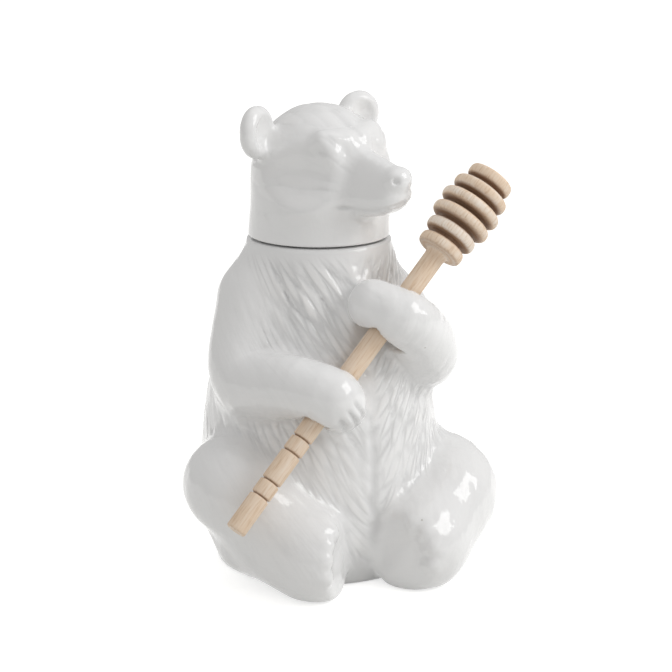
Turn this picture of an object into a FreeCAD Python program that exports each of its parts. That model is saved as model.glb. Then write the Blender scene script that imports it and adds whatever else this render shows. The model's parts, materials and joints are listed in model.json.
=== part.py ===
import FreeCAD, Part
import math
import os
from FreeCAD import Vector

os.makedirs("parts", exist_ok=True)

# A seated ceramic bear that is a honey pot. Sizes are in millimetres, +Z is up, the bear faces -Y and
# sits on z = 0 with the axis of its neck on Z. Bearings are degrees from straight ahead, positive to
# the bear's own left (+X). A stand-off is measured outward from the wall of the pot at that height.

# The pot: a hollow round torso with an open neck
pot_height = 119.5
base_radius = 37.5
belly_radius = 42.6
belly_height = 36.0
chest_radius = 38.0
chest_height = 75.0
shoulder_radius = 29.4
shoulder_drop = 14.5
neck_radius = 25.6
pot_wall = 5.0
pot_floor = 6.0
rim_round = 1.0
base_round = 2.5

# The lid: the bear's head, hollow, with a flange that drops into the neck
head_height = 47.2
temple_radius = 21.0
temple_height = 34.0
nape_radius = 24.4
nape_height = 16.0
head_wall = 5.0
flange_depth = 9.0
flange_wall = 3.5
flange_clearance = 0.8
flange_foot_room = 3.0
flange_root = 1.0
head_turn = 21.0
head_roll = 4.0
face_height = 20.5
muzzle_root = 12.0
muzzle_root_rise = 1.6
muzzle_reach = 35.0
muzzle_tip_rise = 0.9
muzzle_root_round = 15.4
muzzle_tip_round = 8.0
jaw_reach = 31.5
jaw_drop = 4.8
jaw_root_round = 12.4
jaw_tip_round = 5.5
nose_rise = 4.4
nose_radius = 4.4
nose_half_width = 5.6
nose_inset = 3.08
cheek_round = 15.0
cheek_side = 10.0
cheek_reach = 10.0
cheek_drop = 3.6
brow_round = 9.4
brow_side = 9.6
brow_reach = 14.2
brow_rise = 11.0
eye_round = 2.9
eye_side = 10.2
eye_reach = 22.0
eye_rise = 11.6
ear_side = 23.5
left_ear_rise = 19.2
right_ear_rise = 20.8
ear_back = 2.8
left_ear_radius = 8.2
right_ear_radius = 8.8
ear_half_thickness = 4.2
ear_scoop_radius = 7.2
ear_scoop_depth = 2.6
ear_scoop_shift = 0.8
ear_turn = 10.0

# The legs: each a thigh, a shin and a foot with its flat sole turned inward
hip_bearing = 96.0
hip_height = 26.0
hip_inset = 23.2
hip_round = 21.0
knee_bearing = 59.6
left_knee_height = 27.8
left_knee_standoff = 4.4
left_knee_round = 17.6
right_knee_height = 37.0
right_knee_standoff = 5.2
right_knee_round = 16.6
calf_bearing = 62.8
calf_height = 17.0
calf_standoff = -1.2
calf_round = 14.0
calf_end_inset = 0.6
left_ankle_bearing = 27.0
left_ankle_round = 14.4
right_ankle_bearing = 24.0
right_ankle_round = 13.4
ankle_height = 15.2
ankle_standoff = 7.6
foot_bearing = 19.2
foot_height = 13.8
foot_standoff = 9.0
foot_half_width = 13.0
foot_half_length = 15.2
foot_thickness = 14.2
foot_swell = 6.248
heel_half_width = 10.4
heel_half_length = 11.3
sole_half_width = 12.09
sole_half_length = 14.3
sole_turn = 51.5
sole_reach = 5.2
toe_splay = 38.0
toe_round = 3.7
toe_count = 4
toe_spread = 27.0
toe_inset = 2.035
toe_sink = 4.255

# The dipper: one turned stick with a ringed head, drawn up through the two paws
dipper_length = 156.5
stick_radius = 3.7
stick_end_round = 0.8
groove_depth = 0.75
groove_half_width = 0.8
groove_places = [14.6, 20.7, 33.0, 39.0]
ring_radii = [8.5, 9.5, 11.1, 11.4, 10.4, 8.4]
ring_pitch = 6.0
ring_thickness = 4.2
ring_edge = 1.3
ring_core_radius = 5.4
head_dome = 1.4
head_cove = 2.6
head_above_paw = 28.486

# Where the stick crosses the two paws
stick_clearance = 0.6
slot_half_length = 34.0
slot_depth = 9.46
right_grip_bearing = -15.1
right_grip_height = 71.8
right_grip_gap = 3.2
left_grip_bearing = 17.0
left_grip_height = 97.0
left_grip_gap = 4.8
paw_over_stick = 3.6

# The arms: shoulder, elbow, wrist, the paw over the stick, and the tip of the paw back on the fur
right_shoulder_round = 13.6
right_elbow_round = 12.2
right_wrist_round = 9.8
left_shoulder_round = 11.8
left_elbow_round = 12.5
left_wrist_round = 9.8
paw_round = 9.2
tip_round = 8.6
arm_inset = 6.5
right_shoulder_bearing = -85.0
right_shoulder_drop = 6.0
right_elbow_bearing = -64.0
right_elbow_height = 74.0
right_elbow_standoff = -1.5
right_wrist_bearing = -23.0
right_wrist_height = 74.0
right_wrist_standoff = 7.8
right_tip_bearing = -12.5
right_tip_height = 68.0
right_tip_standoff = 4.5
left_shoulder_bearing = 84.0
left_shoulder_drop = 13.0
left_elbow_bearing = 54.5
left_elbow_height = 78.0
left_elbow_standoff = 0.6
left_wrist_bearing = 23.0
left_wrist_height = 95.0
left_wrist_standoff = 11.0
left_tip_bearing = 9.5
left_tip_height = 101.0
left_tip_standoff = 6.8

taper_share = 0.985
beyond = 200.0
up = Vector(0, 0, 1)


def curve(points, first, last):
    """A smooth edge in the XZ plane through (radius, height) points, with its end directions."""
    spline = Part.BSplineCurve()
    spline.interpolate(
        Points=[Vector(r, 0, z) for r, z in points],
        InitialTangent=Vector(first[0], 0, first[1]),
        FinalTangent=Vector(last[0], 0, last[1]),
    )
    return spline


def line(a, b):
    return Part.LineSegment(Vector(a[0], 0, a[1]), Vector(b[0], 0, b[1])).toShape()


def arc(a, b, c):
    return Part.Arc(*[Vector(r, 0, z) for r, z in (a, b, c)]).toShape()


def corner(a, centre, b):
    """A quarter arc from a to b round the centre."""
    reach = math.dist(a, centre)
    half = ((a[0] + b[0]) / 2 - centre[0], (a[1] + b[1]) / 2 - centre[1])
    scale = reach / math.hypot(*half)
    return arc(a, (centre[0] + half[0] * scale, centre[1] + half[1] * scale), b)


def turned(edges):
    """The solid of a closed half section turned about Z."""
    section = Part.Face(Part.Wire(edges))
    body = Part.Solid(section.revolve(Vector(), up, 360).Shells[0])
    if body.Volume < 0:
        body.reverse()
    return body


def taper(start, end, first, last):
    """A straight round shaft between two centres; equal ends make it a cylinder."""
    along = end - start
    if abs(first - last) < 0.01:
        return Part.makeCylinder(first, along.Length, start, along)
    return Part.makeCone(first, last, along.Length, start, along)


def limb(joints):
    """A round-jointed member through (centre, radius) joints; its tapers are a hair thinner than its balls.

    Each ball has its poles along the member, where the tapers bury them.
    """
    centres = [centre for centre, radius in joints]
    ways = [b - a for a, b in zip(centres[:1] + centres, centres[1:] + centres[-1:])]
    balls = [Part.makeSphere(radius, centre, way) for (centre, radius), way in zip(joints, ways)]
    shafts = [
        taper(a, b, taper_share * ra, taper_share * rb)
        for (a, ra), (b, rb) in zip(joints, joints[1:])
    ]
    return balls[0].multiFuse(balls[1:] + shafts)


def axes(x_way, z_way):
    """A placement whose Z runs along z_way and whose X leans to x_way."""
    z_way = Vector(z_way).normalize()
    y_way = z_way.cross(x_way).normalize()
    x_way = y_way.cross(z_way)
    return FreeCAD.Placement(FreeCAD.Matrix(
        x_way.x, y_way.x, z_way.x, 0,
        x_way.y, y_way.y, z_way.y, 0,
        x_way.z, y_way.z, z_way.z, 0,
        0, 0, 0, 1,
    ))


def moved(shape, place, origin):
    """The shape, made on the Z axis, set on a placement at an origin."""
    done = shape.copy()
    done.Placement = FreeCAD.Placement(origin, place.Rotation).multiply(done.Placement)
    return done


# The wall of the pot: its outside curve also gives every other piece its place on the body
shoulder_height = pot_height - shoulder_drop
outside = curve(
    [
        (base_radius, base_round),
        (belly_radius, belly_height),
        (chest_radius, chest_height),
        (shoulder_radius, shoulder_height),
        (neck_radius, pot_height - rim_round),
    ],
    (0.35, 1.0),
    (-0.16, 1.0),
)


def pot_radius(height):
    """The outside radius of the pot at a height, by halving along its curve."""
    low, high = outside.FirstParameter, outside.LastParameter
    for _ in range(50):
        middle = (low + high) / 2
        if outside.value(middle).z < height:
            low = middle
        else:
            high = middle
    return outside.value(low).x


def on_pot(bearing, height, standoff):
    reach = pot_radius(height) + standoff
    turn = math.radians(bearing)
    return Vector(reach * math.sin(turn), -reach * math.cos(turn), height)


def outward(point):
    return Vector(point.x, point.y, 0).normalize()


def half_space(height):
    """A block above a height, wider and taller than the whole bear."""
    return Part.makeBox(2 * beyond, 2 * beyond, beyond, Vector(-beyond, -beyond, height))


bore_radius = neck_radius - pot_wall
flange_radius = bore_radius - flange_clearance
mouth_radius = flange_radius - flange_wall
bore_end = pot_height - flange_depth - flange_foot_room

outer_edges = [
    line((0, 0), (base_radius - base_round, 0)),
    corner(
        (base_radius - base_round, 0),
        (base_radius - base_round, base_round),
        (base_radius, base_round),
    ),
    outside.toShape(),
    corner(
        (neck_radius, pot_height - rim_round),
        (neck_radius - rim_round, pot_height - rim_round),
        (neck_radius - rim_round, pot_height),
    ),
]
filled_pot = turned(outer_edges + [
    line((neck_radius - rim_round, pot_height), (0, pot_height)),
    line((0, pot_height), (0, 0)),
])

inside = curve(
    [
        (base_radius - pot_wall, pot_floor),
        (belly_radius - pot_wall, belly_height),
        (chest_radius - pot_wall, chest_height),
        (bore_radius, bore_end),
    ],
    (0.6, 1.0),
    (0.0, 1.0),
)
hollow = turned([
    line((0, pot_floor), (base_radius - pot_wall, pot_floor)),
    inside.toShape(),
    line((bore_radius, bore_end), (bore_radius, pot_height + rim_round)),
    line((bore_radius, pot_height + rim_round), (0, pot_height + rim_round)),
    line((0, pot_height + rim_round), (0, pot_floor)),
])
torso_pot = filled_pot.cut(hollow)

# The legs, both made on the bear's left, with the right knee drawn up higher and then mirrored
hip = on_pot(hip_bearing, hip_height, -hip_inset)
calf = on_pot(calf_bearing, calf_height, calf_standoff)
foot = on_pot(foot_bearing, foot_height, foot_standoff)
sole_way = Vector(-math.sin(math.radians(sole_turn)), -math.cos(math.radians(sole_turn)), 0)
across = up.cross(sole_way)
toe_way = up * math.cos(math.radians(toe_splay)) + across * math.sin(math.radians(toe_splay))
foot_axes = axes(toe_way, sole_way)


def oval(half_length, half_width, place):
    ring = Part.Ellipse(Vector(0, 0, place), half_length, half_width)
    return Part.Wire(ring.toShape())


foot_block = Part.makeLoft(
    [
        oval(heel_half_length, heel_half_width, sole_reach - foot_thickness),
        oval(foot_half_length, foot_half_width, sole_reach - foot_swell),
        oval(sole_half_length, sole_half_width, sole_reach),
    ],
    True,
)
toes = []
for number in range(toe_count):
    fan = math.radians((number - (toe_count - 1) / 2) * toe_spread)
    toes.append(Part.makeSphere(toe_round, Vector(
        (foot_half_length - toe_inset) * math.cos(fan),
        (foot_half_width - toe_inset) * math.sin(fan),
        sole_reach - toe_sink,
    )))
foot_block = moved(foot_block.multiFuse(toes), foot_axes, foot)
ahead_of_sole = moved(half_space(sole_reach), foot_axes, foot)
beneath_and_behind = half_space(-beyond).fuse(filled_pot)


def leg(knee, knee_round, ankle, ankle_round):
    """A leg with its calf and foot, cut off at the ground and at the wall of the pot."""
    bent = limb([(hip, hip_round), (knee, knee_round), (ankle, ankle_round)])
    underside = limb([(calf, calf_round), (ankle, ankle_round - calf_end_inset)])
    member = bent.fuse(underside).cut(ahead_of_sole)
    return member.fuse(foot_block).cut(beneath_and_behind)


left_leg = leg(
    on_pot(knee_bearing, left_knee_height, left_knee_standoff),
    left_knee_round,
    on_pot(left_ankle_bearing, ankle_height, ankle_standoff),
    left_ankle_round,
)
right_leg = leg(
    on_pot(knee_bearing, right_knee_height, right_knee_standoff),
    right_knee_round,
    on_pot(right_ankle_bearing, ankle_height, ankle_standoff),
    right_ankle_round,
).mirror(Vector(), Vector(1, 0, 0))

# The line of the stick, from where it crosses the two paws
right_grip = on_pot(right_grip_bearing, right_grip_height, stick_radius + right_grip_gap)
left_grip = on_pot(left_grip_bearing, left_grip_height, stick_radius + left_grip_gap)
stick_way = (left_grip - right_grip).normalize()


def stick_slot(grip):
    """The way of the stick through a paw: round in front, open to the wall of the pot behind."""
    radius = stick_radius + stick_clearance
    length = 2 * slot_half_length
    pipe = Part.makeCylinder(radius, length, Vector(0, 0, -slot_half_length))
    gap = Part.makeBox(slot_depth, 2 * radius, length, Vector(-slot_depth, -radius, -slot_half_length))
    return moved(pipe.fuse(gap), axes(outward(grip), stick_way), grip)


def arm(joints, grip, tip):
    """An arm through its joints, over the stick at the grip and back to the fur at the tip."""
    paw = grip + outward(grip) * paw_over_stick
    shape = limb(joints + [(paw, paw_round), (tip, tip_round)])
    return shape.cut(stick_slot(grip)).cut(filled_pot)


right_shoulder = on_pot(right_shoulder_bearing, shoulder_height - right_shoulder_drop, -arm_inset)
right_elbow = on_pot(right_elbow_bearing, right_elbow_height, right_elbow_standoff)
right_wrist = on_pot(right_wrist_bearing, right_wrist_height, right_wrist_standoff)
right_arm = arm(
    [
        (right_shoulder, right_shoulder_round),
        (right_elbow, right_elbow_round),
        (right_wrist, right_wrist_round),
    ],
    right_grip,
    on_pot(right_tip_bearing, right_tip_height, right_tip_standoff),
)
left_shoulder = on_pot(left_shoulder_bearing, shoulder_height - left_shoulder_drop, -arm_inset)
left_elbow = on_pot(left_elbow_bearing, left_elbow_height, left_elbow_standoff)
left_wrist = on_pot(left_wrist_bearing, left_wrist_height, left_wrist_standoff)
left_arm = arm(
    [
        (left_shoulder, left_shoulder_round),
        (left_elbow, left_elbow_round),
        (left_wrist, left_wrist_round),
    ],
    left_grip,
    on_pot(left_tip_bearing, left_tip_height, left_tip_standoff),
)

# The dipper, turned about its own axis and then laid on the line of the stick
edge = [(0, 0), (stick_radius - stick_end_round, 0), (stick_radius, stick_end_round)]
for place in groove_places:
    edge.append((stick_radius, place - groove_half_width))
    edge.append((stick_radius - groove_depth, place))
    edge.append((stick_radius, place + groove_half_width))
first_ring = dipper_length - head_dome - ring_thickness - (len(ring_radii) - 1) * ring_pitch
low_end = left_grip + stick_way * (head_above_paw - first_ring)
edge.append((stick_radius, first_ring - head_cove))
dipper_edges = [line(a, b) for a, b in zip(edge, edge[1:])]
dipper_edges.append(line(edge[-1], (ring_core_radius, first_ring)))
for number, radius in enumerate(ring_radii):
    low = first_ring + number * ring_pitch
    high = low + ring_thickness
    flat = radius - ring_edge
    dipper_edges.append(line((ring_core_radius, low), (flat, low)))
    dipper_edges.append(arc((flat, low), (radius, (low + high) / 2), (flat, high)))
    if number < len(ring_radii) - 1:
        dipper_edges.append(line((flat, high), (ring_core_radius, high)))
        dipper_edges.append(line((ring_core_radius, high), (ring_core_radius, low + ring_pitch)))
last_flat = ring_radii[-1] - ring_edge
dome_radius = (last_flat ** 2 + head_dome ** 2) / (2 * head_dome)
dome_lean = math.asin(last_flat / dome_radius) / 2
dipper_edges.append(arc(
    (last_flat, dipper_length - head_dome),
    (dome_radius * math.sin(dome_lean), dipper_length - dome_radius * (1 - math.cos(dome_lean))),
    (0, dipper_length),
))
dipper_edges.append(line((0, dipper_length), (0, 0)))
honey_dipper = moved(turned(dipper_edges), axes(outward(right_grip), stick_way), low_end)

# The head: a turned skull with the face set on it, turned and rolled on the neck
seam = pot_height
crown = curve(
    [
        (neck_radius, seam + rim_round),
        (nape_radius, seam + nape_height),
        (temple_radius, seam + temple_height),
        (0, seam + head_height),
    ],
    (-0.05, 1.0),
    (-1.0, 0.0),
)
skull = turned([
    line((0, seam), (neck_radius - rim_round, seam)),
    corner(
        (neck_radius - rim_round, seam),
        (neck_radius - rim_round, seam + rim_round),
        (neck_radius, seam + rim_round),
    ),
    crown.toShape(),
    line((0, seam + head_height), (0, seam)),
])
turn = math.radians(head_turn)
roll = math.radians(head_roll)
ahead = Vector(math.sin(turn), -math.cos(turn), 0)
level_side = Vector(math.cos(turn), math.sin(turn), 0)
side = level_side * math.cos(roll) + up * math.sin(roll)
rise = up * math.cos(roll) - level_side * math.sin(roll)


def on_face(left, reach, height):
    return Vector(0, 0, seam + face_height) + side * left + ahead * reach + rise * height


def spheroid(centre, way, half_length, radius):
    """A ball drawn out or flattened along a way."""
    stretch = FreeCAD.Matrix()
    stretch.scale(radius, radius, half_length)
    ball = Part.makeSphere(1.0).transformGeometry(stretch)
    return moved(ball, axes(Vector(0.3, 0.4, 1), way), centre)


muzzle = limb([
    (on_face(0, muzzle_root, muzzle_root_rise), muzzle_root_round),
    (on_face(0, muzzle_reach, muzzle_tip_rise), muzzle_tip_round),
])
jaw = limb([
    (on_face(0, muzzle_root, -jaw_drop), jaw_root_round),
    (on_face(0, jaw_reach, -jaw_drop), jaw_tip_round),
])
nose_reach = muzzle_reach + muzzle_tip_round - nose_inset
nose = spheroid(on_face(0, nose_reach, nose_rise), side, nose_half_width, nose_radius)
features = [muzzle, jaw, nose]
for hand in (1, -1):
    features.append(Part.makeSphere(cheek_round, on_face(hand * cheek_side, cheek_reach, -cheek_drop)))
    features.append(Part.makeSphere(eye_round, on_face(hand * eye_side, eye_reach, eye_rise)))
brow_ends = [on_face(hand * brow_side, brow_reach, brow_rise) for hand in (1, -1)]
features.append(limb([(end, brow_round) for end in brow_ends]))
filled_head = skull.multiFuse(features).cut(half_space(seam - beyond))

dome = curve(
    [
        (mouth_radius, seam),
        (nape_radius - head_wall, seam + nape_height),
        (temple_radius - head_wall, seam + temple_height - 0.5 * head_wall),
        (0, seam + head_height - head_wall),
    ],
    (0.5, 1.0),
    (-1.0, 0.0),
)
head_hollow = turned([
    line((0, seam - rim_round), (mouth_radius, seam - rim_round)),
    line((mouth_radius, seam - rim_round), (mouth_radius, seam)),
    dome.toShape(),
    line((0, seam + head_height - head_wall), (0, seam - rim_round)),
])
flange_foot = Vector(0, 0, seam - flange_depth)
flange = Part.makeCylinder(flange_radius, flange_depth + flange_root, flange_foot)
flange = flange.cut(Part.makeCylinder(mouth_radius, flange_depth + flange_root, flange_foot))
head_shell = filled_head.cut(head_hollow).fuse(flange)

# The ears: thick round dishes, set on the corners of the skull and turned in towards each other
ears = {}
scoop_reach = ear_half_thickness + ear_scoop_radius - ear_scoop_depth
ear_lean = math.radians(ear_turn)
for name, hand, ear_rise, ear_radius in (
    ("left_ear", 1, left_ear_rise, left_ear_radius),
    ("right_ear", -1, right_ear_rise, right_ear_radius),
):
    centre = on_face(hand * ear_side, -ear_back, ear_rise)
    facing = ahead * math.cos(ear_lean) - side * (hand * math.sin(ear_lean))
    scoop_centre = centre + facing * scoop_reach + side * (hand * ear_scoop_shift)
    scoop = Part.makeSphere(ear_scoop_radius, scoop_centre)
    ears[name] = spheroid(centre, facing, ear_half_thickness, ear_radius).cut(scoop).cut(filled_head)

pieces = {
    "torso_pot": torso_pot,
    "right_leg": right_leg,
    "left_leg": left_leg,
    "right_arm": right_arm,
    "left_arm": left_arm,
    "honey_dipper": honey_dipper,
    "head_shell": head_shell,
    **ears,
}
for name, shape in pieces.items():
    if len(shape.Solids) != 1 or not shape.isValid():
        raise ValueError(name + " is not one sound solid")
    shape.Solids[0].exportStep("parts/" + name + ".step")
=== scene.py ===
import json
import math

import bpy
import mathutils
import numpy as np
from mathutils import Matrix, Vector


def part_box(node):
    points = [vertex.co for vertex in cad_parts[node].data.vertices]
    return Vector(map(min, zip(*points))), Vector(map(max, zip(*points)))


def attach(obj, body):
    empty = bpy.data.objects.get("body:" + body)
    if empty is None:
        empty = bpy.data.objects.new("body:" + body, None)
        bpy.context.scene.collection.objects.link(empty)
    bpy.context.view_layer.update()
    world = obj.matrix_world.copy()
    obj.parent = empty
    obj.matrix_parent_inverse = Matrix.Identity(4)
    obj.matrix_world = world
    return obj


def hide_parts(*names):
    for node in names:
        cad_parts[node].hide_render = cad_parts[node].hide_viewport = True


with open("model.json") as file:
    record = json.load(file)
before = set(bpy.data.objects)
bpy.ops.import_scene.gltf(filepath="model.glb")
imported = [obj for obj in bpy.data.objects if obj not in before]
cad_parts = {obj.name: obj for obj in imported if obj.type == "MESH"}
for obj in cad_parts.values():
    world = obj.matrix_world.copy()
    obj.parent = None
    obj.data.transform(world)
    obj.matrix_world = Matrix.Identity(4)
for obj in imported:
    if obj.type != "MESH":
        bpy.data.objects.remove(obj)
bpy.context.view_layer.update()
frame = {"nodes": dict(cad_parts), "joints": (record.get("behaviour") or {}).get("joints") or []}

# The pot: the body of a seated bear in white stoneware, hollow, with an open neck. It is luted together from
# clay, the hair is tooled into the soft surface, and one thick glossy glaze covers it inside and out. Places
# are millimetres in the part's own frame: the bear faces -Y, +X is its own left, z = 0 is the table.
mm = 0.001
pot_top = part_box("torso_pot")[1].z / mm
pot_pitch = 1.02
pot_grid_low = (-66, -70, -4)
pot_grid_high = (66, 50, 124)
neck_round = 0.6
seam_gap = 0.75
ground_round = 2.0

torso_heights = np.array([-14, 0, 12, 28, 45, 60, 75, 90, 105, 119.5, 134])
torso_half_widths = np.array([33, 36.8, 40.4, 42.4, 42.4, 40.9, 38, 34.1, 29.3, 25.6, 23])
torso_half_depths = np.array([32, 36.6, 40.0, 42.2, 42.2, 40.6, 37.8, 33.8, 29.0, 25.6, 23])
torso_slack = 0.97

inside_heights = np.array([0, 6, 20, 40, 60, 75, 88, 96, 104, 108, 130])
inside_radii = np.array([30, 32.5, 36.8, 37.6, 36.9, 33.0, 25.1, 21.9, 20.7, 20.6, 20.6])
inside_slack = 0.92
inside_edge = 1.0
floor_thickness = 6.0
floor_round = 4.0

# The limbs, as the middle and the radius of each joint from the body outwards
right_arm_joints = [
    ((-24.9, -2.2, 99.0), 13.6),
    ((-33.0, -16.1, 74.0), 12.6),
    ((-20.0, -41.0, 74.4), 10.6),
    ((-12.6, -47.0, 71.8), 10.4),
    ((-8.9, -43.0, 68.0), 9.4),
]
left_arm_joints = [
    ((27.0, -2.8, 92.0), 11.8),
    ((30.9, -22.0, 78.5), 12.9),
    ((24.4, -34.2, 88.6), 11.4),
    ((13.6, -42.3, 97.8), 9.9),
    ((5.6, -37.5, 101.6), 8.9),
]
left_leg_joints = [
    ((18.9, 2.0, 26.0), 21.0),
    ((40.3, -23.6, 27.8), 18.4),
    ((22.0, -43.1, 15.2), 15.0),
]
right_leg_joints = [
    ((18.9, 2.0, 26.0), 21.0),
    ((41.0, -24.0, 36.4), 16.7),
    ((30.3, -34.3, 25.6), 15.2),
    ((19.7, -44.2, 15.0), 13.7),
]
left_calf = ((35.0, -18.0, 17.0), 14.0)
right_calf = ((32.4, -19.4, 16.4), 13.6)
bars_per_joint = 4
limb_margin = 9

# How far the clay runs where members meet; more is added along the arms behind the paws, over a stretch of y
calf_blend = 9.0
leg_blend = 6.0
paw_blend = 3.4
shoulder_extra = 5.6
shoulder_stretch = (-38, -12)
arms_blend = 1.0

# The line of the stick, read from the frame, for the ways that are left for it behind the paws
stick_way = np.array(next(j for j in frame["joints"] if j["name"] == "dipper_draw")["axis"])
stick_node = frame["nodes"]["honey_dipper"].data
stick_points = np.empty(3 * len(stick_node.vertices))
stick_node.vertices.foreach_get("co", stick_points)
stick_points = stick_points.reshape(-1, 3) / mm


def square_axes(way, lean):
    """Three square unit axes as columns: the last along a way, the middle one leaning to another way."""
    last = way / np.linalg.norm(way)
    first = np.cross(lean, last)
    first = first / np.linalg.norm(first)
    return np.stack([first, np.cross(last, first), last], 1)


stick_axes = square_axes(stick_way, np.array([0.0, -1.0, 0.0]))
stick_local = stick_points @ stick_axes
stick_middle = (stick_local.max(0) + stick_local.min(0)) / 2
stick_low_end = stick_axes @ np.array([stick_middle[0], stick_middle[1], stick_local[:, 2].min()])
stick_way_radius = 4.4
stick_way_edge = 1.0
right_grip_place = 57.4
left_grip_place = 92.4

# Each slot's reach to the right of the stick, to its left and along it; the left one has a wider lower mouth
right_slot = (4.6, 4.6, 30)
left_slot = (4.6, 5.2, 30)
left_mouth = (10.0, 5.2, 12)
left_mouth_place = left_grip_place - 14
slot_depth = 16
slot_corner = 1.5
slot_edge = 0.8
mouth_edge = 1.0


def soft_union(a, b, blend):
    """The nearer of two distances, rounded over where they differ by less than the blend."""
    share = np.clip(0.5 + 0.5 * (b - a) / blend, 0, 1)
    return b + (a - b) * share - blend * share * (1 - share)


def soft_cut(a, b, blend):
    """A distance with a second form taken out of it, the edge rounded over the blend."""
    return -soft_union(-a, b, blend)


def soft_both(a, b, blend):
    """What two forms share, the edge rounded over the blend."""
    return -soft_union(-a, -b, blend)


def egg(points, centre, radii, turn=None):
    """Distance to an ellipsoid: (k - 1) k / |grad k|, with k the length of the point scaled by the radii."""
    local = points - centre
    if turn is not None:
        local = local @ turn
    radii = np.asarray(radii, float)
    scaled = np.sqrt(((local / radii) ** 2).sum(1))
    slope = np.sqrt(((local / radii**2) ** 2).sum(1)) + 1e-9
    return scaled * (scaled - 1) / slope


def tapered(points, start, end, first, last):
    """Distance to a round bar whose radius runs from first to last: the cone that both end balls touch."""
    start, end = np.asarray(start, float), np.asarray(end, float)
    length = np.linalg.norm(end - start)
    way = (end - start) / length
    local = points - start
    along = local @ way
    out = np.sqrt(np.maximum((local**2).sum(1) - along**2, 0))
    lean = (first - last) / length
    upright = math.sqrt(1 - lean * lean)
    place = np.clip((along - out * lean / upright) / length, 0, 1)
    return np.hypot(along - place * length, out) - (first + (last - first) * place)


def smooth_curve(x, places, values):
    """Values between places by cubic pieces that share their slopes, held level past both ends."""
    x = np.clip(x, places[0], places[-1])
    i = np.clip(np.searchsorted(places, x, side="right") - 1, 0, len(places) - 2)
    slopes = np.gradient(values, places)
    span = places[i + 1] - places[i]
    t = (x - places[i]) / span
    rise = values[i + 1] - values[i]
    bend = (slopes[i] * span - rise) * (1 - t) - (slopes[i + 1] * span - rise) * t
    return values[i] + rise * t + t * (1 - t) * bend


def limb(points, joints):
    """Distance to a member whose line and radius run smoothly through its joints: the nearest of short bars.

    Points far from every joint keep their plain distance to the balls at the joints.
    """
    rows = np.array([(*centre, radius) for centre, radius in joints])
    near = np.min([np.sqrt(((points - row[:3]) ** 2).sum(1)) - row[3] for row in rows], 0)
    steps = np.sqrt((np.diff(rows[:, :3], axis=0) ** 2).sum(1))
    places = np.concatenate([[0.0], np.cumsum(steps)])
    fine = np.linspace(0, places[-1], bars_per_joint * len(rows))
    line = np.stack([smooth_curve(fine, places, rows[:, k]) for k in range(4)], 1)
    close = np.nonzero(near < 0.5 * steps.max() + limb_margin)[0]
    bars = [tapered(points[close], a[:3], b[:3], a[3], b[3]) for a, b in zip(line[:-1], line[1:])]
    near[close] = np.min(bars, 0)
    return near


def from_stick(points):
    """Distance of each point from the axis of the stick."""
    local = points - stick_low_end
    along = local @ stick_way
    return np.sqrt(np.maximum((local**2).sum(1) - along**2, 0))


def at_grip(points, place):
    """Places left of the stick, out from the body and along the stick, from where it passes a paw."""
    grip = stick_low_end + place * stick_way
    return ((points - grip) @ square_axes(stick_way, np.array([grip[0], grip[1], 0.0]))).T


def paw_slot(points, place, right_side, left_side, reach):
    """Distance to the open slot behind a paw: a square bar along the stick, from its front in to the body."""
    across, out, along = at_grip(points, place)
    sides = np.maximum(-right_side - across, across - left_side)
    ends = np.maximum(-slot_depth - out, np.abs(along) - reach)
    return np.maximum(soft_both(sides, out - stick_way_radius, slot_corner), ends)


def torso(points):
    """Distance to the upright body: oval rings whose half sizes follow a curve over the height."""
    height = points[:, 2]
    wide = smooth_curve(height, torso_heights, torso_half_widths)
    deep = smooth_curve(height, torso_heights, torso_half_depths)
    return (np.hypot(points[:, 0] / wide, points[:, 1] / deep) - 1) * np.minimum(wide, deep) * torso_slack


# The left foot: an egg cut flat at the sole, with a low pad there and four toes fanned over its upper rim
foot_centre = np.array([16.3, -46.9, 13.4])
foot_half_sizes = np.array([12.8, 14.8, 10.5])
foot_axes = square_axes(np.array([-0.78, -0.62, 0.03]), np.array([0.38, -0.48, 0.79]))
foot_blend = 3.0
sole_reach = 5.2
sole_edge = 2.4
pad_half_sizes = (6.4, 7.0, 2.3)
pad_edge = 1.2
toe_fan = np.radians([-26, 6, 35, 66])
toe_tip_radius = 3.0
toe_root_radius = 2.7
toe_blend = 1.9


def on_foot(across, along, out):
    """A place on the left foot: across it, along it to the toes, and out of the sole, from its middle."""
    return foot_centre + foot_axes @ np.array([across, along, out])


toe_tips = [on_foot(10.4 * math.sin(a), 12.0 * math.cos(a), 3.6) for a in toe_fan]
toe_roots = [on_foot(11.6 * math.sin(a), 12.8 * math.cos(a), -3.5) for a in toe_fan]
pad_spot = on_foot(0.8, -2.2, sole_reach - 1.7)


def leg(points, joints, calf):
    """Distance to a leg on the left: thigh, shin, calf and foot, cut flat at the sole, then pad and toes."""
    near = limb(points, joints)
    near = soft_union(near, limb(points, [calf, joints[-1]]), calf_blend)
    near = soft_union(near, egg(points, foot_centre, foot_half_sizes, foot_axes), foot_blend)
    near = soft_both(near, (points - foot_centre) @ foot_axes[:, 2] - sole_reach, sole_edge)
    near = soft_union(near, egg(points, pad_spot, pad_half_sizes, foot_axes), pad_edge)
    for tip, root in zip(toe_tips, toe_roots):
        near = soft_union(near, tapered(points, tip, root, toe_tip_radius, toe_root_radius), toe_blend)
    return near


def legs(points):
    """Distance to both legs: the right one, with its higher knee, is made on the left and mirrored."""
    mirrored = points * np.array([-1.0, 1.0, 1.0])
    return np.minimum(leg(points, left_leg_joints, left_calf), leg(mirrored, right_leg_joints, right_calf))


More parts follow.
